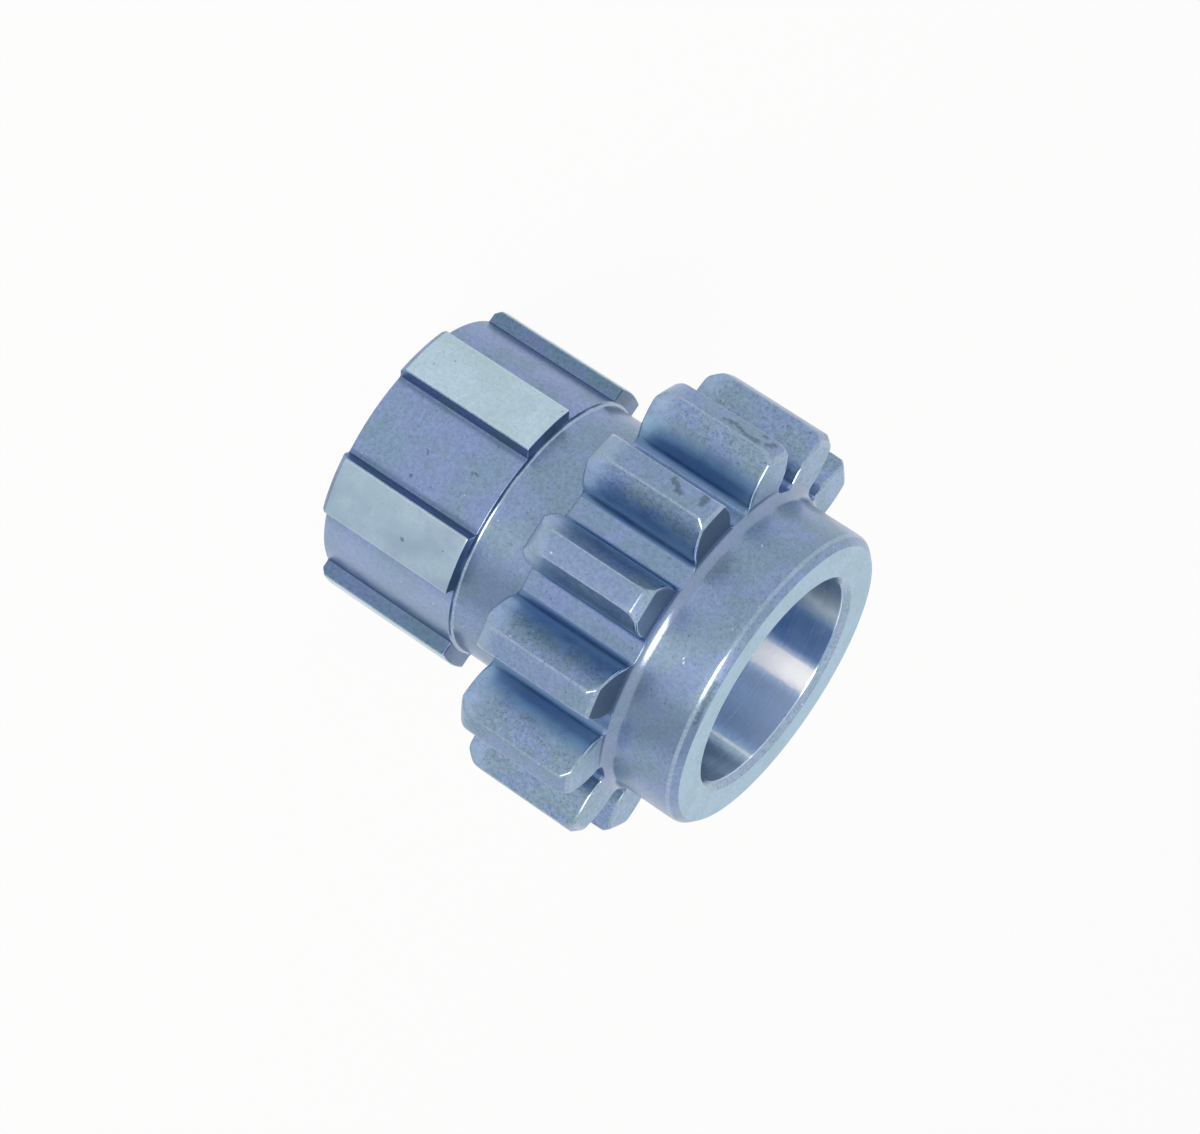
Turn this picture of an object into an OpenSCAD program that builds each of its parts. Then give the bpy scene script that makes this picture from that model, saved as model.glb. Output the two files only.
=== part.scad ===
// Clutch gear: one piece of hardened steel with a ground through bore.
// It stands on its splined hub end, with the plain collar up and the bore along Z.
// From the bottom: six wide splines, a relieved neck, a stub tooth spur gear and the collar.

/* [Bore] */
// Diameter of the ground through bore
bore_d = 25.4; // [22:0.1:28]
// Chamfer at each mouth of the bore, equal along and across
bore_chamfer = 0.7; // [0.2:0.05:1]

/* [Splined hub] */
// Number of splines
spline_count = 6; // [4:1:8]
// Diameter over the ground tops of the splines
spline_d = 35.7; // [34:0.1:38]
// Width of one spline across its parallel flanks
spline_w = 7.1; // [5:0.1:9]
// Depth of the grooves below the spline tops
spline_depth = 1.65; // [1:0.05:2]
// Length of the splines from the hub end to their shoulder
spline_len = 17.5; // [12:0.1:24]
// Chamfer on the free ends of the splines, equal along and across
spline_chamfer = 0.65; // [0.2:0.05:0.9]

/* [Neck] */
// Length of the neck between the spline shoulder and the gear
neck_len = 8.2; // [5:0.1:14]
// Depth of the neck below the floors of the spline grooves
neck_relief = 0.5; // [0.2:0.05:0.8]
// Fillet radius at the foot of the spline shoulder
shoulder_fillet = 0.45; // [0.2:0.05:0.7]
// Fillet radius at the gear end of the neck
neck_fillet = 0.8; // [0.3:0.1:1.5]

/* [Gear] */
// Number of teeth
tooth_count = 13; // [12:1:18]
// Module, the pitch diameter divided by the number of teeth
tooth_module = 3.5; // [3.3:0.05:4.2]
// Pressure angle in degrees
pressure_angle = 25; // [20:0.5:27]
// Tooth height above the pitch circle
addendum = 2.65; // [2:0.05:3]
// Tooth depth below the pitch circle
dedendum = 3.85; // [3:0.05:4.2]
// Tooth thickness on the pitch circle
tooth_w = 5.5; // [5:0.05:5.8]
// Fillet radius at the bottom of each tooth gap
root_fillet = 0.8; // [0.3:0.05:1]
// Face width of the gear
gear_w = 14.9; // [10:0.1:24]
// Angle in degrees from the middle of a spline to the nearest tooth
tooth_phase = -3.3; // [-14:0.1:14]
// Chamfer on the tooth ends towards the hub, equal along and across
hub_side_chamfer = 1.2; // [0.4:0.05:2]
// Chamfer on the tooth ends towards the collar, equal along and across
collar_side_chamfer = 0.9; // [0.4:0.05:2]

/* [Collar] */
// Length of the collar beyond the gear
collar_len = 8.9; // [5:0.1:14]
// Depth of the collar surface below the bottoms of the tooth gaps
collar_relief = 0.75; // [0.2:0.05:1.2]
// Fillet radius between the collar and the gear face
collar_fillet = 1.25; // [0.5:0.05:1.5]
// Chamfer on the free edge of the collar, equal along and across
collar_chamfer = 0.87; // [0.3:0.01:1.2]

/* [Hidden] */
$fn = 96;
// Segments in a fillet and in a tooth flank
arc_steps = 5;
flank_steps = 6;
// How far the cuts run past the faces that they open
overcut = 0.5;
// Largest share of a step that its fillet takes
fillet_share = 0.9;
bore_r = bore_d / 2;
spline_r = spline_d / 2;
groove_r = spline_r - spline_depth;
neck_r = groove_r - neck_relief;
pitch_r = tooth_module * tooth_count / 2;
base_r = pitch_r * cos(pressure_angle);
tip_r = pitch_r + addendum;
root_r = pitch_r - dedendum;
// Radii at which the fillet of a tooth gap ends and the involute flank begins
foot_r = root_r + root_fillet;
flank_r = max(base_r, foot_r);
collar_r = root_r - collar_relief;
gear_z0 = spline_len + neck_len;
gear_z1 = gear_z0 + gear_w;
total_len = gear_z1 + collar_len;
tooth_pitch = 360 / tooth_count;
spline_pitch = 360 / spline_count;

// Involute function in degrees
function involute(angle) = tan(angle) * 180 / PI - angle;

// Half of the tooth's thickness at its base circle, as an angle
base_half = tooth_w / (2 * pitch_r) * 180 / PI + involute(pressure_angle);

// Half of the tooth's thickness at radius r, as an angle
function tooth_half(r) = base_half - involute(acos(base_r / r));

function polar(r, angle) = [r * cos(angle), r * sin(angle)];

// Half of a tooth gap's outline: fillet, radial foot and involute flank, with the gap centred on X
function gap_side() = concat(
    [for (i = [0 : arc_steps])
        let (turn = 90 - 90 * i / arc_steps)
        let (r = root_r + root_fillet * (1 - sin(turn)))
        let (inset = root_fillet * (1 - cos(turn)) / r * 180 / PI)
        polar(r, tooth_pitch / 2 - tooth_half(flank_r) - inset)],
    [for (i = [foot_r < base_r ? 0 : 1 : flank_steps])
        let (r = flank_r + (tip_r + overcut - flank_r) * i / flank_steps)
        polar(r, tooth_pitch / 2 - tooth_half(r))]
);

function mirrored(points) = [for (i = [len(points) - 1 : -1 : 0]) [points[i].x, -points[i].y]];

// Points of a concave fillet in the profile plane, from angle a0 to angle a1 about its centre
function fillet_points(centre, r, a0, a1) =
    [for (i = [0 : arc_steps]) centre + polar(r, a0 + (a1 - a0) * i / arc_steps)];

// The turned profile, as radius and height
module turned_profile() {
    foot = min(shoulder_fillet, neck_relief * fillet_share);
    polygon(concat(
        [[0, 0], [spline_r - spline_chamfer, 0], [spline_r, spline_chamfer], [spline_r, spline_len]],
        fillet_points([neck_r + foot, spline_len + foot], foot, 270, 180),
        fillet_points([neck_r + neck_fillet, gear_z0 - neck_fillet], neck_fillet, 180, 90),
        [[tip_r - hub_side_chamfer, gear_z0], [tip_r, gear_z0 + hub_side_chamfer]],
        [[tip_r, gear_z1 - collar_side_chamfer], [tip_r - collar_side_chamfer, gear_z1]],
        fillet_points([collar_r + collar_fillet, gear_z1 + collar_fillet], collar_fillet, 270, 180),
        [[collar_r, total_len - collar_chamfer], [collar_r - collar_chamfer, total_len], [0, total_len]]
    ));
}

module turned_blank() {
    rotate_extrude() turned_profile();
}

// The space between two neighbouring splines, with parallel flanks and a round floor
module spline_groove() {
    side = spline_pitch / 2;
    inner = neck_r;
    outer = spline_r / cos(side) + overcut;
    difference() {
        translate([0, 0, -overcut])
            linear_extrude(spline_len + neck_len / 2 + overcut)
                polygon([
                    polar(inner, asin(spline_w / 2 / inner) - side),
                    polar(outer, asin(spline_w / 2 / outer) - side),
                    polar(outer, side - asin(spline_w / 2 / outer)),
                    polar(inner, side - asin(spline_w / 2 / inner))
                ]);
        translate([0, 0, -2 * overcut])
            cylinder(r = groove_r, h = spline_len + neck_len + 2 * overcut);
    }
}

// The space between two neighbouring teeth, cut from the neck to over the collar fillet
module tooth_gap() {
    translate([0, 0, gear_z0 - overcut])
        linear_extrude(gear_w + collar_fillet + 2 * overcut)
            polygon(concat(gap_side(), [[tip_r + 2 * overcut, 0]], mirrored(gap_side())));
}

module bore() {
    mouth_r = bore_r + bore_chamfer;
    translate([0, 0, -overcut])
        cylinder(r = bore_r, h = total_len + 2 * overcut);
    translate([0, 0, -overcut])
        cylinder(r1 = mouth_r + overcut, r2 = bore_r, h = bore_chamfer + overcut);
    translate([0, 0, total_len - bore_chamfer])
        cylinder(r1 = bore_r, r2 = mouth_r + overcut, h = bore_chamfer + overcut);
}

module clutch_gear() {
    color("lightsteelblue")
        difference() {
            turned_blank();
            for (i = [0 : spline_count - 1])
                rotate([0, 0, spline_pitch * (i + 0.5)]) spline_groove();
            for (i = [0 : tooth_count - 1])
                rotate([0, 0, tooth_phase + tooth_pitch * (i + 0.5)]) tooth_gap();
            bore();
        }
}

clutch_gear();
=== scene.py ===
"""Looks of the clutch gear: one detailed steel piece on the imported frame, in a pale, soft studio."""

import math

import bmesh
import bpy
import numpy as np
from mathutils import Matrix, Vector


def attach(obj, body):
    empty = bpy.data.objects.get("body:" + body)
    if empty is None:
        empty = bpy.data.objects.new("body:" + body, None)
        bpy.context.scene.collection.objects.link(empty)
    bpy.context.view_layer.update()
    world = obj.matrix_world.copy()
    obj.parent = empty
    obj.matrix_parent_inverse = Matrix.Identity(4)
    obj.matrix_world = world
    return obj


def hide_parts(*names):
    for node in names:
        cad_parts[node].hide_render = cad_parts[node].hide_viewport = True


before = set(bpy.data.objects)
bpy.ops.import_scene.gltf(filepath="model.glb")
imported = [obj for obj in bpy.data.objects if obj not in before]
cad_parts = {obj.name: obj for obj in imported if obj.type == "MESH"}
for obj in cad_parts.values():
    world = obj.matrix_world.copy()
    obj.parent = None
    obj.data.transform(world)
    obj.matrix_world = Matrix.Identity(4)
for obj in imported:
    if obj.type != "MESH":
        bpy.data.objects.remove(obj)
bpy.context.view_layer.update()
scene = bpy.context.scene

# Sizes in millimetres, as in the CAD source
BORE_R = 12.7
BORE_CHAMFER = 0.7
SPLINES = 6
SPLINE_R = 17.85
SPLINE_HALF_W = 3.55
GROOVE_R = 16.2
SPLINE_LEN = 17.5
SPLINE_CHAMFER = 0.65
NECK_R = 15.7
NECK_FILLET = 0.8
TEETH = 13
TIP_R = 25.4
PITCH_R = 22.75
ROOT_R = 18.9
PRESSURE_ANGLE = math.radians(25)
TOOTH_W = 5.5
ROOT_FILLET = 0.8
TOOTH_PHASE = math.radians(-3.3)
GEAR_Z0 = 25.7
GEAR_Z1 = 40.6
HUB_SIDE_CHAMFER = 1.2
COLLAR_SIDE_CHAMFER = 0.9
COLLAR_R = 18.15
COLLAR_FILLET = 1.25
COLLAR_CHAMFER = 0.87
TOTAL_LEN = 49.5

# Derived sizes
BASE_R = PITCH_R * math.cos(PRESSURE_ANGLE)
HALF_PITCH = math.pi / TEETH
SPLINE_HALF_PITCH = math.pi / SPLINES
MOUTH_R = BORE_R + BORE_CHAMFER
FACE_R = COLLAR_R - COLLAR_CHAMFER
# Radius and height of the centre of the fillet between the gear and the collar
FILLET_R = COLLAR_R + COLLAR_FILLET
FILLET_Z = GEAR_Z1 + COLLAR_FILLET
# Heights of the corners where the chamfers of the tooth ends begin
LOW_CORNER = GEAR_Z0 + HUB_SIDE_CHAMFER
HIGH_CORNER = GEAR_Z1 - COLLAR_SIDE_CHAMFER

# Small breaks on the edges
EDGE = 0.12
HUB_SIDE_EDGE = 0.3
COLLAR_SIDE_EDGE = 0.26
COLLAR_EDGE = 0.2
GROOVE_EDGE = 0.07
# Length along the tooth tips over which their corner at the hub side is rounded
HUB_SIDE_BLEND = 0.6
# Depth of a rounded corner, as a share of its length, on the splines and on the teeth
SPLINE_WEAR = 0.2
TOOTH_WEAR = 0.22
# Lengths from the gear faces over which the tooth edges are more broken, and in which that fades out
HUB_WEAR_LEN, HUB_WEAR_FADE = 3.5, 2.5
COLLAR_WEAR_LEN, COLLAR_WEAR_FADE = 1.6, 0.8
# Fillet at the feet of the splines
GROOVE_FILLET = 0.2
# Fillet at the foot of the spline shoulder, which starts inside the broken edges of the grooves
SHOULDER_FILLET = 0.38
# Distance outside the collar's fillet in which the broken edge of a tooth's end reaches its full depth
FACE_BLEND = 0.5
# Points closer than this, in metres, are one point
WELD = 2e-6
# Radii closer than this, in millimetres, are the same
SAME_R = 1e-6

# Steps of the mesh along half the outline of a tooth, from its middle to the middle of the gap. There is
# one straight step more between the flank and the foot, and the foot has two runs of steps.
TOP_STEPS = 4
EDGE_STEPS = 3
FLANK_STEPS = 8
FOOT_STEPS = 3
FLOOR_STEPS = 2
TOOTH_HALF = TOP_STEPS + EDGE_STEPS + FLANK_STEPS + 1 + 2 * FOOT_STEPS + FLOOR_STEPS
# Steps along half the outline of a spline, whose edge and foot have EDGE_STEPS each
LAND_STEPS = 14
SIDE_STEPS = 3
GROOVE_STEPS = 29
SPLINE_HALF = LAND_STEPS + EDGE_STEPS + SIDE_STEPS + EDGE_STEPS + GROOVE_STEPS
# Columns around the mesh, the same count for the teeth and for the splines
COLUMNS = 2 * TOOTH_HALF * TEETH
COLUMN = np.arange(COLUMNS)
EVEN = TOOTH_PHASE + 2 * math.pi * COLUMN / COLUMNS
# Each column's distance from the middle of its tooth and of its spline, and the same for the faces
TOOTH_COLUMN = np.abs((COLUMN + TOOTH_HALF) % (2 * TOOTH_HALF) - TOOTH_HALF)
SPLINE_COLUMN = np.abs((COLUMN + SPLINE_HALF) % (2 * SPLINE_HALF) - SPLINE_HALF)
TOOTH_FACE = np.minimum(TOOTH_COLUMN, np.roll(TOOTH_COLUMN, -1))
SPLINE_FACE = np.minimum(SPLINE_COLUMN, np.roll(SPLINE_COLUMN, -1))

# Material slots on the steel piece, and where they change along the outlines
GROUND, TURNED, MILLED, TOOTH, BORE, POLISHED, FACED, END, FLANK, FILLET = range(10)
TOOTH_EDGE_END = TOP_STEPS + EDGE_STEPS
TOOTH_FLANK_END = TOOTH_HALF - FLOOR_STEPS - 1
TOOTH_FACE_END = TOOTH_FLANK_END - FOOT_STEPS
LAND_EDGE_END = LAND_STEPS + EDGE_STEPS
LAND_SIDE_END = LAND_EDGE_END + SIDE_STEPS
LAND_FOOT_END = SPLINE_HALF - GROOVE_STEPS
LAND_SLOTS = np.select([SPLINE_FACE < LAND_STEPS, SPLINE_FACE < LAND_EDGE_END, SPLINE_FACE < LAND_FOOT_END],
                       [GROUND, POLISHED, FLANK], MILLED)
TOOTH_SLOTS = np.select([TOOTH_FACE < TOP_STEPS, TOOTH_FACE < TOOTH_EDGE_END, TOOTH_FACE < TOOTH_FLANK_END],
                        [TURNED, POLISHED, TOOTH], MILLED)

# Heading of the side that faces the camera, from which every turn below is counted, in degrees
FRONT_ANGLE = math.radians(271.7)

# Pits on the tooth tops: turn, depth below the collar's end and radius, the last two in millimetres
TOOTH_PITS = [
    (52.4, 16.2, 0.42), (53.0, 15.4, 0.55), (53.0, 14.8, 0.4), (52.5, 14.2, 0.48), (52.1, 13.6, 0.45),
    (51.8, 13.0, 0.42), (51.6, 12.4, 0.42), (52.0, 11.8, 0.5), (57.0, 13.8, 0.5), (55.2, 11.6, 0.5),
    (52.9, 10.5, 0.6), (54.0, 10.2, 0.6), (27.6, 14.7, 0.42), (27.0, 14.3, 0.45), (26.4, 13.9, 0.45),
    (25.8, 13.5, 0.45), (25.3, 13.1, 0.45), (28.7, 10.9, 0.5), (27.9, 10.7, 0.55), (27.1, 10.6, 0.55),
    (26.3, 10.6, 0.5),
]
# Pits on the darker spline top
TOP_PITS = [(-30.5, 38.9, 0.35), (-25.5, 34.0, 0.2)]
# Pits on the floor of a spline groove
GROOVE_PITS = [(0.6, 41.6, 0.3), (3.0, 36.0, 0.35), (-10.4, 42.0, 0.3), (3.6, 35.6, 0.25)]
# Painted shade on the collar's chamfer: its turns, and the radius, depth and size of its blots
CHAMFER_SHADE_TURNS = range(-27, -10, 2)
CHAMFER_SHADE_R, CHAMFER_SHADE_DEPTH, CHAMFER_SHADE_SIZE = COLLAR_R - 0.45, 0.4, 0.5
# Light scuffs on the collar and on one tooth top: radius, turn, depth and size
SCUFFS = [(COLLAR_R, 7.2, 0.65, 0.24), (COLLAR_R, -9.8, 4.7, 0.2), (COLLAR_R, -11.2, 4.4, 0.2),
          (COLLAR_R, 38, 5.5, 0.18), (TIP_R, -3.4, 20.5, 0.26)]
# Height of a placed pit beside that of the fine tool marks
PIT_HEIGHT = 2.5

# Colours of the marks, stains and wear in the steel, and of its painted shade, highlights and reflections
NICK = (0.10, 0.15, 0.24)
PALE_NICK = (0.75, 0.85, 0.9)
# Colour of the pits, and of the painted shade on the collar's chamfer
PIT_AND_SHADE = (0.08, 0.13, 0.17)
# Painted shade on one spline top, and painted highlights along the spline edges
SHADED_TOP = (0.315, 0.42, 0.53)
RIM_HIGHLIGHT = (0.85, 0.88, 0.90)
# Painted shade in the corners of the spline grooves, and one paler groove floor
CORNER_SHADE = (0.1, 0.15, 0.28)
PALE_FLOOR = (0.40, 0.50, 0.66)
# Painted shade on the front tooth ends; in the bore a painted dark reflection, a painted highlight band and
# a thin bright line
SHADED_END = (0.055, 0.10, 0.18)
BORE_DARK_REFLECTION = (0.11, 0.25, 0.52)
HIGHLIGHT_STRIP = (0.74, 0.76, 0.79)
THIN_BRIGHT_LINE = (1.0, 1.0, 1.0)
# Painted dark reflection along the neck and the collar
NECK_DARK_REFLECTION = (0.11, 0.17, 0.26)
# Painted highlights at the hub ends of the teeth, painted light on the lower flanks, and dirt with painted
# shade at the tooth feet
TOP_END_HIGHLIGHT = (0.42, 0.56, 0.72)
FLANK_LIGHT = (0.33, 0.505, 0.70)
FLANK_END_HIGHLIGHT = (0.42, 0.56, 0.82)
FOOT_DIRT_AND_SHADE = (0.08, 0.155, 0.31)
# Painted reflections in the bore, as pale strips: turn, half width and colour
REFLECTION_STRIPS = [(114, 5.5, (0.56, 0.76, 1.0)), (127, 2.2, (0.88, 0.97, 1.0)), (-121, 5.0, (0.64, 0.84, 1.0))]
# Sparse nicks: cells in a metre, share of the cells that hold one, radius in metres, strength and colour
NICKS = [(700.0, 0.6, 0.00016, 0.6, NICK), (520.0, 0.4, 0.00014, 0.5, PALE_NICK)]

# Camera, solved from the photograph: the axis's turn and tilt, the collar's end and the focal length
AXIS_TURN = 0.58376
AXIS_TILT = 0.33553
COLLAR_END = Vector((18.8605, 12.5143, 420.9433))
FOCAL_PX = 3943.94
PHOTO_WIDTH = 1200
SENSOR_WIDTH = 36

# Studio: half the floor's width in metres, the share of white that the camera sees on it and its own grey,
# the level of the sky's light, and the height that the lamp looks at
FLOOR_HALF = 3.0
FLOOR_WHITE = 0.95
FLOOR_GREY = 0.9
SKY_LEVEL = 0.4
LAMP_TARGET = Vector((0, 0, 0.03))


def involute(angle):
    return math.tan(angle) - angle


BASE_HALF = TOOTH_W / (2 * PITCH_R) + involute(PRESSURE_ANGLE)


def heading(turn):
    """The angle around the axis of a turn in degrees from the side that faces the camera."""
    return FRONT_ANGLE - math.radians(turn)


def spaced(start, end, steps):
    """Both ends and the even steps between them."""
    return [start + (end - start) * i / steps for i in range(steps + 1)]


def quarter(steps=EDGE_STEPS):
    return spaced(0, math.pi / 2, steps)


def tooth_angle(r):
    """Half of the tooth's thickness at radius r, as an angle."""
    if r <= BASE_R:
        return BASE_HALF
    return BASE_HALF - involute(math.acos(BASE_R / r))


def foot_point(turn):
    """A point on the fillet at a tooth's foot, as radius and angle from the tooth's middle."""
    r = ROOT_R + ROOT_FILLET * (1 - math.sin(turn))
    return r, BASE_HALF + ROOT_FILLET * (1 - math.cos(turn)) / r


# Where the collar's fillet meets the fillet at a tooth's foot on the gear face
FACE_TURN = math.asin(1 - (FILLET_R - ROOT_R) / ROOT_FILLET)


def tooth_half(clip, edge=EDGE):
    """Radius and angle from the tooth's middle, from the middle of a gap to that of the tooth."""
    floor_half = HALF_PITCH - BASE_HALF - ROOT_FILLET / ROOT_R
    points = [(ROOT_R * math.cos(floor_half) / math.cos(a), HALF_PITCH - a)
              for a in spaced(0, floor_half, FLOOR_STEPS)[:-1]]
    turns = spaced(math.pi / 2, FACE_TURN, FOOT_STEPS)[:-1] + spaced(FACE_TURN, 0, FOOT_STEPS)
    points += [foot_point(turn) for turn in turns]
    points += [(r, tooth_angle(r)) for r in spaced(BASE_R, clip - edge, FLANK_STEPS)]
    for turn in quarter()[1:]:
        r = clip - edge * (1 - math.sin(turn))
        points.append((r, tooth_angle(r) - edge / clip * (1 - math.cos(turn))))
    points += [(clip, a) for a in spaced(points[-1][1], 0, TOP_STEPS)[1:]]
    return points


def spline_half(clip):
    """Radius and angle from the spline's middle, from the middle of a groove to that of the spline."""
    foot = math.asin((SPLINE_HALF_W + GROOVE_FILLET) / GROOVE_R)
    points = [(GROOVE_R, a) for a in spaced(SPLINE_HALF_PITCH, foot, GROOVE_STEPS)[:-1]]
    for turn in quarter():
        r = GROOVE_R + GROOVE_FILLET * (1 - math.cos(turn))
        points.append((r, math.asin((SPLINE_HALF_W + GROOVE_FILLET * (1 - math.sin(turn))) / r)))
    for r in spaced(GROOVE_R + GROOVE_FILLET, clip - EDGE, SIDE_STEPS)[1:]:
        points.append((r, math.asin(SPLINE_HALF_W / r)))
    for turn in quarter()[1:]:
        r = clip - EDGE * (1 - math.sin(turn))
        points.append((r, math.asin((SPLINE_HALF_W - EDGE * (1 - math.cos(turn))) / r)))
    points += [(clip, a) for a in spaced(points[-1][1], 0, LAND_STEPS)[1:]]
    return points


def whole_ring(half, copies, phase):
    """A closed outline from a half profile, one copy after another, starting in the middle of a copy."""
    pitch = 2 * math.pi / copies
    one = half[::-1] + [(r, pitch - a) for r, a in half[1:-1]]
    radii = [r for k in range(copies) for r, a in one]
    angles = [phase + a + pitch * k for k in range(copies) for r, a in one]
    return np.array(radii), np.array(angles)


def inset(radii, angles, depth):
    """The outline moved into the material by depth along its normals."""
    x, y = radii * np.cos(angles), radii * np.sin(angles)
    tx = np.roll(x, -1) - np.roll(x, 1)
    ty = np.roll(y, -1) - np.roll(y, 1)
    length = np.hypot(tx, ty)
    x = x - ty / length * depth
    y = y + tx / length * depth
    turned = np.unwrap(np.arctan2(y, x))
    turned += 2 * math.pi * np.round((angles[0] - turned[0]) / (2 * math.pi))
    return np.hypot(x, y), turned


def corner_wear(distance, blend, share):
    """How much a worn corner lies below the sharp one, at a distance from it along the surface."""
    over = max(0, 1 - abs(distance) / blend)
    return share * blend * over * over


class Loft:
    """Rings of points stacked into one closed surface, with a material slot for each band of faces."""

    def __init__(self):
        self.points = []
        self.faces = []
        self.slots = []
        self.last = None

    def ring(self, radii, angles, heights, slot=None):
        """Adds a ring and joins it to the last one, unless slot is None: one number or one a column."""
        first = len(self.points)
        radii, heights = np.broadcast_to(radii, COLUMNS), np.broadcast_to(heights, COLUMNS)
        for r, a, z in zip(radii, angles, heights):
            self.points.append((r * math.cos(a) / 1000, r * math.sin(a) / 1000, z / 1000))
        if slot is not None:
            slots = np.broadcast_to(slot, COLUMNS)
            for i in range(COLUMNS):
                j = (i + 1) % COLUMNS
                self.faces.append((self.last + i, self.last + j, first + j, first + i))
                self.slots.append(int(slots[i]))
        self.last = first
        return first

    def round_rings(self, rings, slot):
        for r, z in rings:
            self.ring(r, EVEN, z, slot)

    def face(self, corners, slot):
        self.faces.append(tuple(corners))
        self.slots.append(slot)

    def sectors(self, inner, outer, half, count, slot):
        """Flat faces that look down between two rings in one plane, cut in the middles of the gaps."""
        for k in range(count):
            columns = [(half + 2 * half * k + i) % COLUMNS for i in range(2 * half + 1)]
            self.face([inner + c for c in columns] + [outer + c for c in columns[::-1]], slot)


def add_hub(loft):
    """The splines with their broken end edge and chamfer. Returns the first ring."""
    edge = np.where(SPLINE_COLUMN > LAND_SIDE_END, GROOVE_EDGE, EDGE)
    end_slots = np.where(SPLINE_FACE < LAND_EDGE_END, TURNED, LAND_SLOTS)

    def ring(z, depth, slot):
        clip = min(SPLINE_R, SPLINE_R - SPLINE_CHAMFER + z)
        clip -= corner_wear(z - SPLINE_CHAMFER, EDGE, SPLINE_WEAR)
        outline = whole_ring(spline_half(clip), SPLINES, 0)
        return loft.ring(*inset(*outline, depth), z, slot)

    first = ring(0, edge, None)
    for turn in quarter()[1:]:
        ring(EDGE * (1 - math.cos(turn)), edge * (1 - math.sin(turn)), end_slots)
    for z in (0.25, 0.4, SPLINE_CHAMFER - EDGE, SPLINE_CHAMFER - EDGE / 2, SPLINE_CHAMFER,
              SPLINE_CHAMFER + EDGE / 2):
        ring(z, 0, end_slots)
    ring(SPLINE_CHAMFER + EDGE, 0, LAND_SLOTS)
    for z in spaced(1.0, SPLINE_LEN - 0.3, 8)[1:]:
        ring(z, 0, LAND_SLOTS)
    for turn in quarter():
        ring(SPLINE_LEN - EDGE * (1 - math.sin(turn)), edge * (1 - math.cos(turn)), LAND_SLOTS)
    return first


def add_neck(loft):
    """The shoulder, the neck and the fillet to the gear. The columns even out along the neck."""
    spline_angles = whole_ring(spline_half(SPLINE_R), SPLINES, 0)[1]

    def ring(r, z, slot):
        share = (z - SPLINE_LEN) / (GEAR_Z0 - SPLINE_LEN)
        share = share * share * (3 - 2 * share)
        loft.ring(r, spline_angles * (1 - share) + EVEN * share, z, slot)

    foot = SHOULDER_FILLET
    ring(NECK_R + foot, SPLINE_LEN, np.where(SPLINE_FACE < LAND_FOOT_END, FLANK, POLISHED))
    for turn in quarter(5)[1:]:
        ring(NECK_R + foot * (1 - math.sin(turn)), SPLINE_LEN + foot * (1 - math.cos(turn)), POLISHED)
    for z in spaced(SPLINE_LEN + foot, GEAR_Z0 - NECK_FILLET, 9)[1:-1]:
        ring(NECK_R, z, TURNED)
    for turn in quarter(5):
        ring(NECK_R + NECK_FILLET * (1 - math.cos(turn)), GEAR_Z0 - NECK_FILLET * (1 - math.sin(turn)),
             TURNED)


def add_gear(loft, outline_radii):
    """The teeth, with a chamfer and broken edges at both ends."""
    below = np.clip(FILLET_R - outline_radii, 0, None)
    rise = COLLAR_FILLET - np.sqrt(COLLAR_FILLET ** 2 - below ** 2)
    on_face = np.clip((outline_radii - FILLET_R) / FACE_BLEND, 0, 1)

    def ring(z, depth, slot, lift=0.0):
        clip = TIP_R - max(0, LOW_CORNER - z, z - HIGH_CORNER)
        clip -= corner_wear(LOW_CORNER - z, HUB_SIDE_BLEND, TOOTH_WEAR)
        clip -= corner_wear(z - HIGH_CORNER, EDGE, TOOTH_WEAR)
        hub_share = min(1, max(0, (GEAR_Z0 + HUB_WEAR_LEN - z) / HUB_WEAR_FADE))
        collar_share = min(1, max(0, (z - GEAR_Z1 + COLLAR_WEAR_LEN) / COLLAR_WEAR_FADE))
        edge = EDGE + (HUB_SIDE_EDGE - EDGE) * hub_share + (COLLAR_SIDE_EDGE - EDGE) * collar_share
        outline = whole_ring(tooth_half(clip, edge), TEETH, TOOTH_PHASE)
        return loft.ring(*inset(*outline, depth), z + lift, slot)

    neck_top = loft.last
    first = ring(GEAR_Z0, HUB_SIDE_EDGE, None)
    loft.sectors(neck_top, first, TOOTH_HALF, TEETH, TURNED)
    for turn in quarter()[1:]:
        ring(GEAR_Z0 + HUB_SIDE_EDGE * (1 - math.cos(turn)), HUB_SIDE_EDGE * (1 - math.sin(turn)),
             TOOTH_SLOTS)
    ring(GEAR_Z0 + 0.45, 0, TOOTH_SLOTS)
    for z in spaced(LOW_CORNER - HUB_SIDE_BLEND, LOW_CORNER + HUB_SIDE_BLEND, 6):
        ring(z, 0, TOOTH_SLOTS)
    for z in spaced(LOW_CORNER + HUB_SIDE_BLEND, HIGH_CORNER - EDGE, 10)[1:-1]:
        ring(z, 0, TOOTH_SLOTS)
    for z in spaced(HIGH_CORNER - EDGE, HIGH_CORNER + EDGE, 4):
        ring(z, 0, TOOTH_SLOTS)
    for depth in (0.65, 0.5, 0.36):
        ring(GEAR_Z1 - depth, 0, TOOTH_SLOTS, rise * (1 - depth / COLLAR_SIDE_CHAMFER))
    for turn in quarter(4):
        ring(GEAR_Z1 - COLLAR_SIDE_EDGE * (1 - math.sin(turn)),
             COLLAR_SIDE_EDGE * on_face * (1 - math.cos(turn)),
             np.where(TOOTH_FACE < TOOTH_FACE_END, POLISHED, MILLED), rise)


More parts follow.
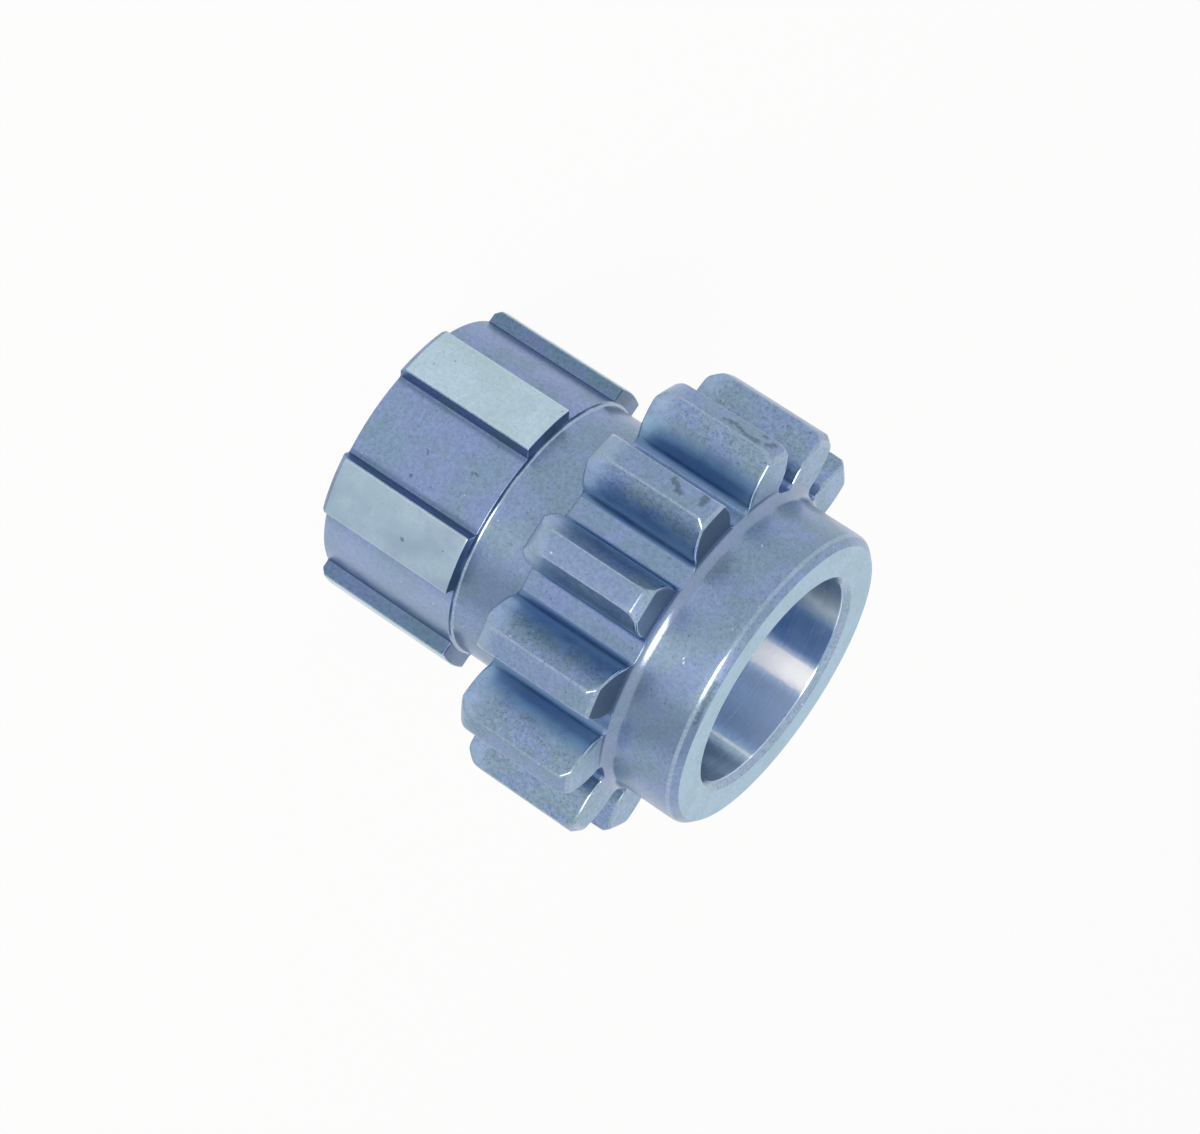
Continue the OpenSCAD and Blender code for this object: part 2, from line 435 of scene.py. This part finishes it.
def add_collar_fillet(loft, radii, angles):
    """The fillet starts on the gear face, or on the gap floor where that is lower."""
    gear_last = loft.last
    on_tooth = radii > FILLET_R + SAME_R
    inner_columns = int(on_tooth[:TOOTH_HALF].sum())
    middle = np.round((angles - TOOTH_PHASE) / (2 * HALF_PITCH)) * 2 * HALF_PITCH + TOOTH_PHASE
    side = np.where((COLUMN + TOOTH_HALF) % (2 * TOOTH_HALF) < TOOTH_HALF, -1.0, 1.0)
    face_angle = foot_point(FACE_TURN)[1]
    crossing = np.where(on_tooth, middle + side * face_angle * TOOTH_COLUMN / inner_columns, angles)
    depth = np.clip((FILLET_R - radii) / COLLAR_FILLET, 0, 1)
    start_turn = np.where(on_tooth, 0.0, np.arcsin(depth))
    for share in spaced(0, 1, 6):
        turn = start_turn + (math.pi / 2 - start_turn) * share
        loft.ring(FILLET_R - COLLAR_FILLET * np.sin(turn), crossing * (1 - share) + EVEN * share,
                  FILLET_Z - COLLAR_FILLET * np.cos(turn), FILLET if share else None)
        if not share:
            fillet_first = loft.last
    for k in range(TEETH):
        columns = [(2 * TOOTH_HALF * k + i) % COLUMNS for i in range(-inner_columns, inner_columns + 1)]
        loft.face([gear_last + c for c in columns] + [fillet_first + c for c in columns[1:-1][::-1]], END)


def add_collar(loft):
    """The collar's wall, chamfer and end face. Its rounded corners are given as shares of their size."""
    high = TOTAL_LEN - COLLAR_CHAMFER
    loft.round_rings([(COLLAR_R, z) for z in spaced(FILLET_Z, high - COLLAR_EDGE, 8)[1:]], TURNED)
    loft.round_rings([(COLLAR_R - inward * COLLAR_EDGE, high + up * COLLAR_EDGE)
                      for inward, up in ((0.14, -0.35), (0.45, 0.2), (1, 1))], POLISHED)
    loft.round_rings([(FACE_R + outward * EDGE, TOTAL_LEN - down * EDGE)
                      for outward, down in ((0.8, 0.8), (0.2, 0.3), (-0.2, 0.06))], TURNED)
    loft.round_rings([(r, TOTAL_LEN) for r in spaced(FACE_R - EDGE, MOUTH_R + EDGE, 6)], FACED)


def add_bore(loft, hub_first):
    """The rounded mouth, the chamfers and the wall, and the flat end of the hub."""
    high = TOTAL_LEN - BORE_CHAMFER
    loft.round_rings([(MOUTH_R + 0.2 * EDGE, TOTAL_LEN - 0.06 * EDGE)], FACED)
    loft.round_rings([(MOUTH_R - 0.2 * EDGE, TOTAL_LEN - 0.3 * EDGE),
                      (BORE_R + 0.4 * EDGE, high + 0.4 * EDGE)], POLISHED)
    loft.round_rings([(BORE_R + 0.1 * EDGE, high - 0.2 * EDGE)], BORE)
    loft.round_rings([(BORE_R, z) for z in spaced(high - EDGE, BORE_CHAMFER + EDGE, 12)], BORE)
    loft.round_rings([(BORE_R + 0.1 * EDGE, BORE_CHAMFER + 0.2 * EDGE),
                      (BORE_R + 0.4 * EDGE, BORE_CHAMFER - 0.4 * EDGE),
                      (MOUTH_R - 0.2 * EDGE, 0.3 * EDGE), (MOUTH_R, 0)], BORE)
    loft.sectors(loft.last, hub_first, SPLINE_HALF, SPLINES, FACED)


def steel_mesh():
    loft = Loft()
    hub_first = add_hub(loft)
    add_neck(loft)
    radii, angles = whole_ring(tooth_half(TIP_R), TEETH, TOOTH_PHASE)
    add_gear(loft, radii)
    add_collar_fillet(loft, radii, angles)
    add_collar(loft)
    add_bore(loft, hub_first)
    return loft


def weld(mesh):
    """Joins the points that two rings share, such as those of the gap floors under the collar's fillet."""
    work = bmesh.new()
    work.from_mesh(mesh)
    bmesh.ops.remove_doubles(work, verts=work.verts, dist=WELD)
    bmesh.ops.recalc_face_normals(work, faces=work.faces)
    work.to_mesh(mesh)
    work.free()


def steel_piece():
    loft = steel_mesh()
    mesh = bpy.data.meshes.new("clutch_gear_steel")
    mesh.from_pydata(loft.points, [], loft.faces)
    mesh.polygons.foreach_set("material_index", loft.slots)
    mesh.polygons.foreach_set("use_smooth", [True] * len(mesh.polygons))
    piece = bpy.data.objects.new("clutch_gear_steel", mesh)
    scene.collection.objects.link(piece)
    weld(mesh)
    normals = piece.modifiers.new("face_weight", "WEIGHTED_NORMAL")
    normals.keep_sharp = False
    normals.weight = 80
    return piece


def colour(r, g, b):
    return (r, g, b, 1.0)


class Nodes:
    """Short calls for building a node tree."""

    def __init__(self, tree):
        self.tree = tree
        tree.nodes.clear()

    def add(self, kind, inputs=None, **settings):
        node = self.tree.nodes.new(kind)
        for key, value in settings.items():
            setattr(node, key, value)
        for key, value in (inputs or {}).items():
            self.set(node, key, value)
        return node

    def set(self, node, key, value):
        if isinstance(value, bpy.types.NodeSocket):
            self.tree.links.new(value, node.inputs[key])
        else:
            node.inputs[key].default_value = value

    def math(self, operation, a, b=0.0):
        return self.add("ShaderNodeMath", {0: a, 1: b}, operation=operation).outputs[0]

    def times(self, a, b):
        return self.math("MULTIPLY", a, b)

    def plus(self, a, b):
        return self.math("ADD", a, b)

    def band(self, value, low, high, out_low=0.0, out_high=1.0):
        return self.add("ShaderNodeMapRange", {"Value": value, "From Min": low, "From Max": high,
                                               "To Min": out_low, "To Max": out_high}).outputs["Result"]

    def vector(self, x, y, z):
        return self.add("ShaderNodeCombineXYZ", {0: x, 1: y, 2: z}).outputs[0]

    def seen_directly(self):
        """One for the rays that show the background: those of the camera, of gloss and of transmission."""
        path = self.add("ShaderNodeLightPath").outputs
        return self.math("MAXIMUM", self.math("MAXIMUM", path["Is Camera Ray"], path["Is Glossy Ray"]),
                         path["Is Transmission Ray"])


class Surface(Nodes):
    """A node tree that knows the place on the part, in metres, and its distance from the axis."""

    def __init__(self, tree):
        super().__init__(tree)
        self.place = self.add("ShaderNodeTexCoord").outputs["Object"]
        parts = self.add("ShaderNodeSeparateXYZ", {0: self.place}).outputs
        self.x, self.y, self.z = parts["X"], parts["Y"], parts["Z"]
        self.radius = self.math("SQRT", self.plus(self.times(self.x, self.x), self.times(self.y, self.y)))

    def noise(self, scale, detail=2.0, rough=0.5, place=None, output="Fac"):
        return self.add("ShaderNodeTexNoise", {"Vector": place or self.place, "Scale": scale,
                                               "Detail": detail, "Roughness": rough}).outputs[output]

    def shake(self, scale, detail, amount):
        """The place, moved about by a fine noise, so that what is drawn there has a ragged outline."""
        shift = self.noise(scale, detail, output="Color")
        return self.add("ShaderNodeVectorMath", {0: shift, 1: (amount, amount, amount), 2: self.place},
                        operation="MULTIPLY_ADD").outputs[0]

    def blot(self, scale, amount, detail=3.0, rough=0.6):
        """A noise around nought, for the borders of stains."""
        return self.times(self.math("SUBTRACT", self.noise(scale, detail, rough), 0.5), amount)

    def shade(self, tone, mask, target, weight=1.0):
        """The tone, mixed with the target colour by the mask times the weight."""
        node = self.add("ShaderNodeMix", data_type="RGBA")
        share = mask if weight == 1.0 else self.times(mask, weight)
        for index, value in ((0, share), (6, tone), (7, colour(*target))):
            self.set(node, index, value)
        return node.outputs[2]

    def toward(self, turn):
        """How far the place lies towards a turn."""
        return self.plus(self.times(self.x, math.cos(heading(turn))),
                         self.times(self.y, math.sin(heading(turn))))

    def streak(self, turn, half_width, soft, ragged=0.0):
        """One along a strip of the surface that runs parallel to the axis, and nought away from it."""
        across = self.plus(self.times(self.x, -math.sin(heading(turn))),
                           self.times(self.y, math.cos(heading(turn))))
        near = self.band(self.plus(self.math("ABSOLUTE", across), ragged),
                         (half_width - soft / 2) / 1000, (half_width + soft / 2) / 1000, 1.0, 0.0)
        return self.times(near, self.math("GREATER_THAN", self.toward(turn), 0.0))

    def facing(self, turn, inner, outer, waviness=0.2):
        """One within the inner angle from a turn, nought beyond the outer angle, with a wavy border."""
        return self.band(self.plus(self.math("DIVIDE", self.toward(turn), self.radius),
                                   self.blot(300.0, waviness, 2.0, 0.5)),
                         math.cos(math.radians(outer)), math.cos(math.radians(inner)))

    def from_spline(self):
        """The angle from the middle of the nearest spline."""
        angle = self.math("ARCTAN2", self.y, self.x)
        wrapped = self.add("ShaderNodeMath", {0: angle, 1: SPLINE_HALF_PITCH, 2: -SPLINE_HALF_PITCH},
                           operation="WRAP").outputs[0]
        return self.math("ABSOLUTE", wrapped)


def place_on(radius, turn, depth):
    """A point in metres, at a depth below the collar's end."""
    return Vector((radius * math.cos(heading(turn)), radius * math.sin(heading(turn)),
                   TOTAL_LEN - depth)) / 1000


def nicked(s, tone):
    """The tone and height of sparse small nicks: dark pits, and lighter ones where the steel is bruised."""
    ragged = s.shake(2500.0, 2.0, 0.0003)
    height = 0.0
    for scale, share, size, strength, target in NICKS:
        cells = s.add("ShaderNodeTexVoronoi", {"Vector": ragged, "Scale": scale}, feature="F1").outputs
        chance = s.add("ShaderNodeSeparateColor", {0: cells["Color"]}).outputs[0]
        near = s.band(cells["Distance"], size * scale * 0.5, size * scale, 1.0, 0.0)
        spot = s.times(near, s.math("LESS_THAN", chance, share))
        tone = s.shade(tone, spot, target, strength)
        height = s.plus(height, s.times(spot, strength))
    return tone, height


def marked(s, tone, pits_and_shade, scuffs=()):
    """Dark pits, blots of painted shade and light scuffs, with ragged outlines: each has a radius, a turn,
    a depth and a size.
    """
    ragged = s.shake(1800.0, 3.0, 0.001)
    middle_shift = Vector((0.0005, 0.0005, 0.0005))
    height = None
    for marks, target in ((pits_and_shade, PIT_AND_SHADE), (scuffs, PALE_NICK)):
        mask = None
        for at, turn, depth, size in marks:
            centre = place_on(at, turn, depth) + middle_shift
            gap = s.add("ShaderNodeVectorMath", {0: ragged, 1: centre},
                        operation="DISTANCE").outputs["Value"]
            spot = s.band(gap, size * 0.0005, size * 0.001, 1.0, 0.0)
            mask = spot if mask is None else s.math("MAXIMUM", mask, spot)
        if mask:
            tone = s.shade(tone, mask, target, 0.7)
            height = height or s.times(mask, PIT_HEIGHT)
    return tone, height


def ground_details(s, tone):
    """One spline top is darker with painted shade than the others, and all have painted highlights along
    their edges.
    """
    cloudy = s.band(s.noise(260.0, 3.0, 0.6), 0.36, 0.64, 0.55, 1.0)
    # Painted shade on one spline top, in cloudy patches
    tone = s.shade(tone, s.times(s.streak(turn=-28, half_width=4.0, soft=0.1), cloudy), SHADED_TOP)
    # Painted highlights along the edges of the spline tops
    rim_mask = s.band(s.from_spline(), math.asin((SPLINE_HALF_W - 0.24) / SPLINE_R),
                 math.asin((SPLINE_HALF_W - 0.1) / SPLINE_R))
    tone = s.shade(tone, rim_mask, RIM_HIGHLIGHT, 0.4)
    return marked(s, tone, [(SPLINE_R, *mark) for mark in TOP_PITS])


def milled_details(s, tone):
    """Painted shade in the corners where the floors of the spline grooves meet the splines, and one paler
    floor.
    """
    # Painted shade in the groove corners
    corner_mask = s.band(s.from_spline(), math.asin((SPLINE_HALF_W + 0.25) / GROOVE_R),
                    math.asin((SPLINE_HALF_W + 0.7) / GROOVE_R), 1.0, 0.0)
    on_hub = s.math("LESS_THAN", s.z, SPLINE_LEN / 1000)
    tone = s.shade(tone, s.times(corner_mask, on_hub), CORNER_SHADE, 0.6)
    # One groove floor is made paler
    tone = s.shade(tone, s.times(s.streak(turn=-60, half_width=3.6, soft=1.6), on_hub), PALE_FLOOR, 0.35)
    return marked(s, tone, [(GROOVE_R, *mark) for mark in GROOVE_PITS])


def end_details(s, tone):
    """The ends of the three teeth on the front are darkened with painted shade."""
    # Painted shade on the ends of the front teeth
    return s.shade(tone, s.facing(turn=-2, inner=36, outer=50), SHADED_END, 0.88), None


def bore_details(s, tone):
    """Strips along the bore: a painted dark reflection, a painted highlight band, paler painted reflections
    and a thin bright line.
    """
    wavy = s.band(s.noise(300.0), 0.3, 0.7, 0.5, 1.0)
    # Painted dark reflection along the bore
    tone = s.shade(tone, s.times(s.streak(turn=149, half_width=2.7, soft=1.3), wavy), BORE_DARK_REFLECTION, 0.8)
    # Painted highlight band along the bore
    ragged = s.blot(1500.0, 0.0008, 3.0, 0.7)
    painted_light = s.streak(turn=170.5, half_width=1.5, soft=0.25, ragged=ragged)
    tone = s.shade(tone, painted_light, HIGHLIGHT_STRIP, 0.85)
    # Paler painted reflections along the bore
    for turn, half_width, target in REFLECTION_STRIPS:
        tone = s.shade(tone, s.times(s.streak(turn, half_width, soft=1.4), wavy), target, 0.9)
    # A thin bright line along the bore
    return s.shade(tone, s.streak(turn=-140, half_width=0.27, soft=0.1), THIN_BRIGHT_LINE), None


def hub_end_highlight(s):
    """A painted highlight on the outer ends of the teeth towards the hub."""
    blot = s.blot(420.0, 0.004)
    low = s.band(s.plus(s.z, blot), (GEAR_Z0 + 1.4) / 1000, (GEAR_Z0 + 3.2) / 1000, 0.4, 0.0)
    return s.times(low, s.band(s.plus(s.radius, blot), 0.0222, 0.0236))


def turned_details(s, tone):
    """A painted dark reflection along the neck and the collar, a painted highlight at the hub ends of the
    tooth tops, and the marks on the tooth tops and the collar, with painted shade on the collar's chamfer.
    """
    low = s.math("LESS_THAN", s.radius, (COLLAR_R + 0.1) / 1000)
    # Painted dark reflection along the neck and the collar
    tone = s.shade(tone, s.times(s.streak(turn=-34, half_width=2.9, soft=2.6), low), NECK_DARK_REFLECTION, 0.5)
    # Painted highlight at the hub ends of the tooth tops
    tone = s.shade(tone, hub_end_highlight(s), TOP_END_HIGHLIGHT)
    pits_and_shade = [(TIP_R, *mark) for mark in TOOTH_PITS]
    # Blots of painted shade on the collar's chamfer, among the pits
    pits_and_shade += [(CHAMFER_SHADE_R, turn, CHAMFER_SHADE_DEPTH, CHAMFER_SHADE_SIZE) for turn in CHAMFER_SHADE_TURNS]
    return marked(s, tone, pits_and_shade, SCUFFS)


def tooth_details(s, tone):
    """Painted light on the lower flanks of the front teeth, painted highlights at their hub ends, and dirt
    and painted shade at their feet.
    """
    blot = s.blot(420.0, 0.004)
    # Painted light on the lower flanks of the front teeth
    painted_light = s.band(s.plus(s.radius, blot), 0.0214, 0.0231, 0.85, 0.0)
    front_side = s.band(s.facing(turn=-2, inner=58, outer=72), 0.0, 1.0, 0.1, 1.0)
    tone = s.shade(tone, s.times(painted_light, front_side), FLANK_LIGHT)
    # Painted highlight at the hub ends of the flanks
    tone = s.shade(tone, hub_end_highlight(s), FLANK_END_HIGHLIGHT)
    # Dirt and painted shade at the tooth feet
    foot = s.band(s.plus(s.radius, s.times(blot, 0.15)), 0.0194, 0.0199, 0.75, 0.0)
    return s.shade(tone, foot, FOOT_DIRT_AND_SHADE), None


def grained(s, tone, fine, speckle):
    """The tone, made lighter and darker by a fine grain and by a finer dark grit."""
    grain = s.times(s.band(fine, 0.3, 0.7, 1 - speckle, 1 + speckle),
                    s.band(s.noise(5200.0, 1.0), 0.28, 0.42, 1 - 2.2 * speckle, 1.0))
    grey = s.add("ShaderNodeCombineColor", {0: grain, 1: grain, 2: grain}).outputs[0]
    return s.add("ShaderNodeMix", {0: 1.0, 6: tone, 7: grey}, data_type="RGBA",
                 blend_type="MULTIPLY").outputs[2]


def steel(name, base, patch, roughness, marks, stretch, around=True, details=None, speckle=0.13,
          lines=9000.0, clouding=0.06):
    """Steel with stains in a second colour and fine tool marks that run around the axis or along it.

    marks is the height of the tool marks and lines their number in a metre, stretch how far they draw out
    the highlights, speckle the strength of the grain, and clouding how much rougher the stains are.
    """
    material = bpy.data.materials.new(name)
    material.use_nodes = True
    s = Surface(material.node_tree)
    stain = s.band(s.noise(240.0, 3.0, 0.6), 0.44, 0.58)
    fine = s.noise(2200.0, 3.0, 0.6)
    tone = s.add("ShaderNodeMix", {0: s.times(stain, 0.8), 6: colour(*base), 7: colour(*patch)},
                 data_type="RGBA").outputs[2]
    tone, pit_height = nicked(s, grained(s, tone, fine, speckle))
    if details:
        tone, mark_height = details(s, tone)
        if mark_height:
            pit_height = s.math("MAXIMUM", pit_height, mark_height)
    if around:
        along = s.vector(s.times(s.radius, lines), s.times(s.z, lines), 0.0)
    else:
        along = s.vector(s.times(s.x, 7000.0), s.times(s.y, 7000.0), s.times(s.z, 300.0))
    line = s.noise(1.0, 2.0, 0.6, along)
    height = s.math("SUBTRACT", s.plus(s.times(line, marks), s.times(fine, 0.5)), pit_height)
    bump = s.add("ShaderNodeBump", {"Strength": 0.25, "Distance": 0.00002, "Height": height}).outputs[0]
    shine = s.plus(s.band(stain, 0.0, 1.0, roughness, roughness + clouding),
                   s.band(line, 0.3, 0.7, -0.03, 0.03))
    tangent = s.add("ShaderNodeTangent", direction_type="RADIAL", axis="Z").outputs[0]
    shader = s.add("ShaderNodeBsdfPrincipled", {"Base Color": tone, "Roughness": shine, "Normal": bump,
                                                "Tangent": tangent, "Metallic": 1.0})
    shader.inputs["Anisotropic"].default_value = stretch
    shader.inputs["Anisotropic Rotation"].default_value = 0.25 if around else 0.0
    s.tree.links.new(shader.outputs[0], s.add("ShaderNodeOutputMaterial").inputs[0])
    return material


def steel_finishes():
    """One material for each slot, in the order of the slots."""
    return [
        steel("ground_steel", base=(0.48, 0.62, 0.72), patch=(0.44, 0.58, 0.65), roughness=0.28, marks=0.5,
              stretch=0.6, details=ground_details, speckle=0.07),
        steel("turned_steel", base=(0.235, 0.32, 0.51), patch=(0.22, 0.32, 0.415), roughness=0.3, marks=1.0,
              stretch=0.5, details=turned_details),
        steel("milled_steel", base=(0.25, 0.33, 0.55), patch=(0.23, 0.335, 0.46), roughness=0.3, marks=0.7,
              stretch=0.5, around=False, details=milled_details),
        steel("tooth_steel", base=(0.235, 0.325, 0.52), patch=(0.235, 0.34, 0.43), roughness=0.36,
              marks=0.9, stretch=0.2, around=False, details=tooth_details, speckle=0.2),
        steel("bore_steel", base=(0.55, 0.66, 0.83), patch=(0.53, 0.65, 0.81), roughness=0.25, marks=0.8,
              stretch=1.0, details=bore_details, speckle=0.05, lines=20000.0, clouding=0.0),
        steel("polished_steel", base=(0.32, 0.41, 0.55), patch=(0.28, 0.39, 0.48), roughness=0.17,
              marks=0.3, stretch=0.3),
        steel("faced_steel", base=(0.37, 0.52, 0.65), patch=(0.36, 0.50, 0.60), roughness=0.42, marks=0.4,
              stretch=0.3, speckle=0.08),
        steel("end_steel", base=(0.34, 0.46, 0.62), patch=(0.32, 0.45, 0.55), roughness=0.5, marks=0.6,
              stretch=0.3, details=end_details),
        # Painted shade: the spline flanks, their feet and the spline ends of the shoulder are darker than
        # the milled steel
        steel("shaded_flank_steel", base=(0.15, 0.22, 0.38), patch=(0.13, 0.22, 0.30), roughness=0.3, marks=0.7,
              stretch=0.3, around=False),
        steel("fillet_steel", base=(0.235, 0.305, 0.455), patch=(0.215, 0.295, 0.41), roughness=0.2,
              marks=0.3, stretch=0.6, speckle=0.06),
    ]


def place_camera():
    """Camera axes are right, down and forward; the part's axes are the bore, the front and the side."""
    bore = Vector((math.cos(AXIS_TURN) * math.cos(AXIS_TILT), math.sin(AXIS_TURN) * math.cos(AXIS_TILT),
                   -math.sin(AXIS_TILT)))
    toward = Vector((0, 0, -1))
    front = (toward - toward.dot(bore) * bore).normalized()
    side = front.cross(bore)
    side_angle = FRONT_ANGLE - math.pi / 2
    world_axes = (Vector((0, 0, 1)), Vector((math.cos(FRONT_ANGLE), math.sin(FRONT_ANGLE), 0)),
                  Vector((math.cos(side_angle), math.sin(side_angle), 0)))

    def to_world(v):
        return sum((axis * v.dot(part) for axis, part in zip(world_axes, (bore, front, side))), Vector())

    location = (Vector((0, 0, TOTAL_LEN)) + to_world(-COLLAR_END)) / 1000
    camera_axes = [to_world(Vector(v)) for v in ((1, 0, 0), (0, -1, 0), (0, 0, -1))]
    data = bpy.data.cameras.new("camera")
    data.sensor_fit = "HORIZONTAL"
    data.sensor_width = SENSOR_WIDTH
    data.lens = FOCAL_PX * SENSOR_WIDTH / PHOTO_WIDTH
    data.clip_start = 0.01
    data.clip_end = 20
    camera = bpy.data.objects.new("camera", data)
    camera.matrix_world = Matrix.Translation(location) @ Matrix(camera_axes).transposed().to_4x4()
    scene.collection.objects.link(camera)
    scene.camera = camera


def place_floor():
    """A pale floor that keeps the part's soft shadow, and that the camera and the gloss see as white."""
    mesh = bpy.data.meshes.new("floor")
    corners = [(-1, -1), (1, -1), (1, 1), (-1, 1)]
    mesh.from_pydata([(x * FLOOR_HALF, y * FLOOR_HALF, 0) for x, y in corners], [], [(0, 1, 2, 3)])
    plane = bpy.data.objects.new("floor", mesh)
    scene.collection.objects.link(plane)
    material = bpy.data.materials.new("floor")
    material.use_nodes = True
    n = Nodes(material.node_tree)
    soft = n.add("ShaderNodeBsdfDiffuse", {"Color": colour(FLOOR_GREY, FLOOR_GREY, FLOOR_GREY)}).outputs[0]
    glow = n.add("ShaderNodeEmission", {"Color": colour(1, 1, 1), "Strength": 1.0}).outputs[0]
    share = n.times(n.seen_directly(), FLOOR_WHITE)
    mixed = n.add("ShaderNodeMixShader", {0: share, 1: soft, 2: glow}).outputs[0]
    n.tree.links.new(mixed, n.add("ShaderNodeOutputMaterial").inputs[0])
    mesh.materials.append(material)


def place_sky():
    """Even light from all around, which the camera and the gloss see as white."""
    sky = bpy.data.worlds.new("studio")
    scene.world = sky
    sky.use_nodes = True
    n = Nodes(sky.node_tree)
    level = n.band(n.seen_directly(), 0, 1, SKY_LEVEL, 1.0)
    background = n.add("ShaderNodeBackground", {"Color": colour(1, 1, 1), "Strength": level})
    n.tree.links.new(background.outputs[0], n.add("ShaderNodeOutputWorld").inputs[0])


def place_lamp(name, turn, rise, distance, width, height, glow, tint):
    """A soft lamp that looks at the part: turn and rise are its angles in degrees, glow its radiance."""
    data = bpy.data.lights.new(name, "AREA")
    data.shape = "RECTANGLE"
    data.size = width
    data.size_y = height
    data.energy = glow * math.pi * width * height
    data.color = tint
    rise = math.radians(rise)
    direction = Vector((math.cos(rise) * math.cos(heading(turn)), math.cos(rise) * math.sin(heading(turn)),
                        math.sin(rise)))
    light = bpy.data.objects.new(name, data)
    light.location = LAMP_TARGET + direction * distance
    light.rotation_euler = direction.to_track_quat("Z", "Y").to_euler()
    scene.collection.objects.link(light)


piece = steel_piece()
for finish in steel_finishes():
    piece.data.materials.append(finish)

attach(piece, "root")
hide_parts("clutch_gear")

place_camera()
place_floor()
place_sky()
place_lamp("key", turn=-21, rise=30, distance=0.9, width=0.42, height=0.7, glow=6.6, tint=(1.0, 0.86, 0.70))

scene.view_settings.view_transform = "Standard"
